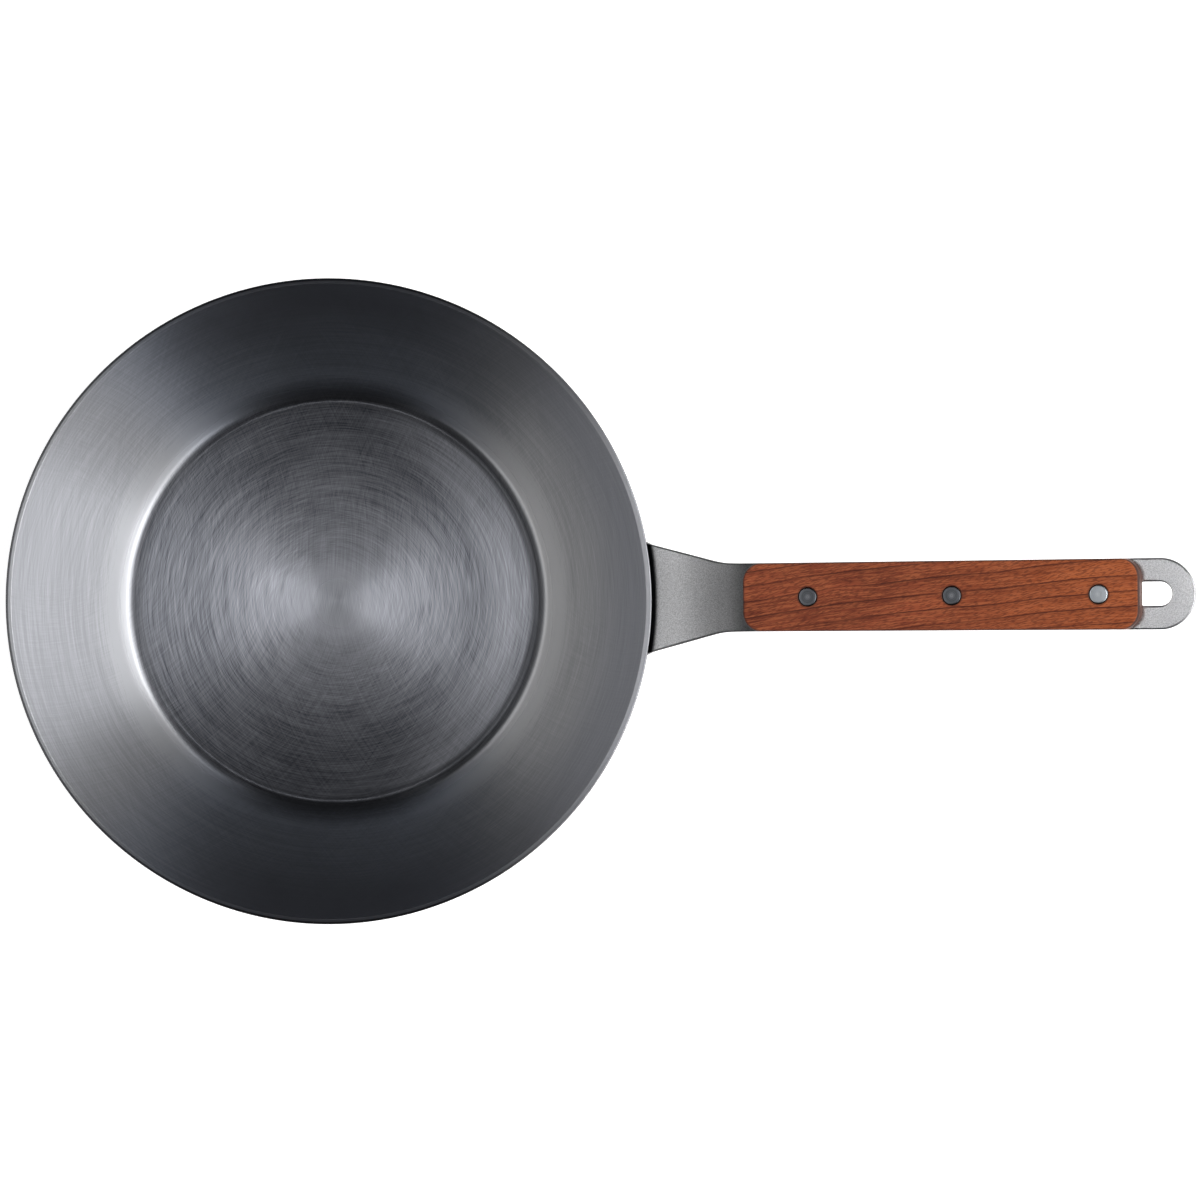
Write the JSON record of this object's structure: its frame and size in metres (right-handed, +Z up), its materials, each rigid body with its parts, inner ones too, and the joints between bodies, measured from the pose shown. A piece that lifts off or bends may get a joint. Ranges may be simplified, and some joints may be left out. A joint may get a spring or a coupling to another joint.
{
  "type": "saute pan",
  "caption": "Round flared carbon steel saute pan with a flat base, a welded flat steel handle, riveted wooden grips and a hanging slot at the end.",
  "frame": {"origin": "centre of the pan's flat base, on the surface that it stands on", "axes": "+Z up along the pan's axis, +X along the handle towards its hanging slot, +Y to the left when looking along the handle from the pan"},
  "size_m": [0.5089, 0.28, 0.1349],
  "materials": {
    "carbon_steel": "blue-grey carbon steel with fine circular brush marks",
    "stainless_steel": "satin stainless steel",
    "weld_metal": "dished electrode marks with a faint heat tint",
    "handle_wood": "red-brown stained beech, oiled, with short dark flecks along the grain",
    "rivet_steel": "polished steel, slightly domed heads"
  },
  "bodies": {
    "root": {"pan_body": "carbon_steel", "handle_tang": "stainless_steel", "spot_weld_lower_right": "weld_metal", "spot_weld_lower_left": "weld_metal", "spot_weld_upper_right": "weld_metal", "spot_weld_upper_left": "weld_metal", "upper_scale": "handle_wood", "lower_scale": "handle_wood", "rivet_post_front": "rivet_steel", "rivet_post_middle": "rivet_steel", "rivet_post_rear": "rivet_steel", "rivet_sleeve_front": "rivet_steel", "rivet_sleeve_middle": "rivet_steel", "rivet_sleeve_rear": "rivet_steel"}
  },
  "joints": []
}
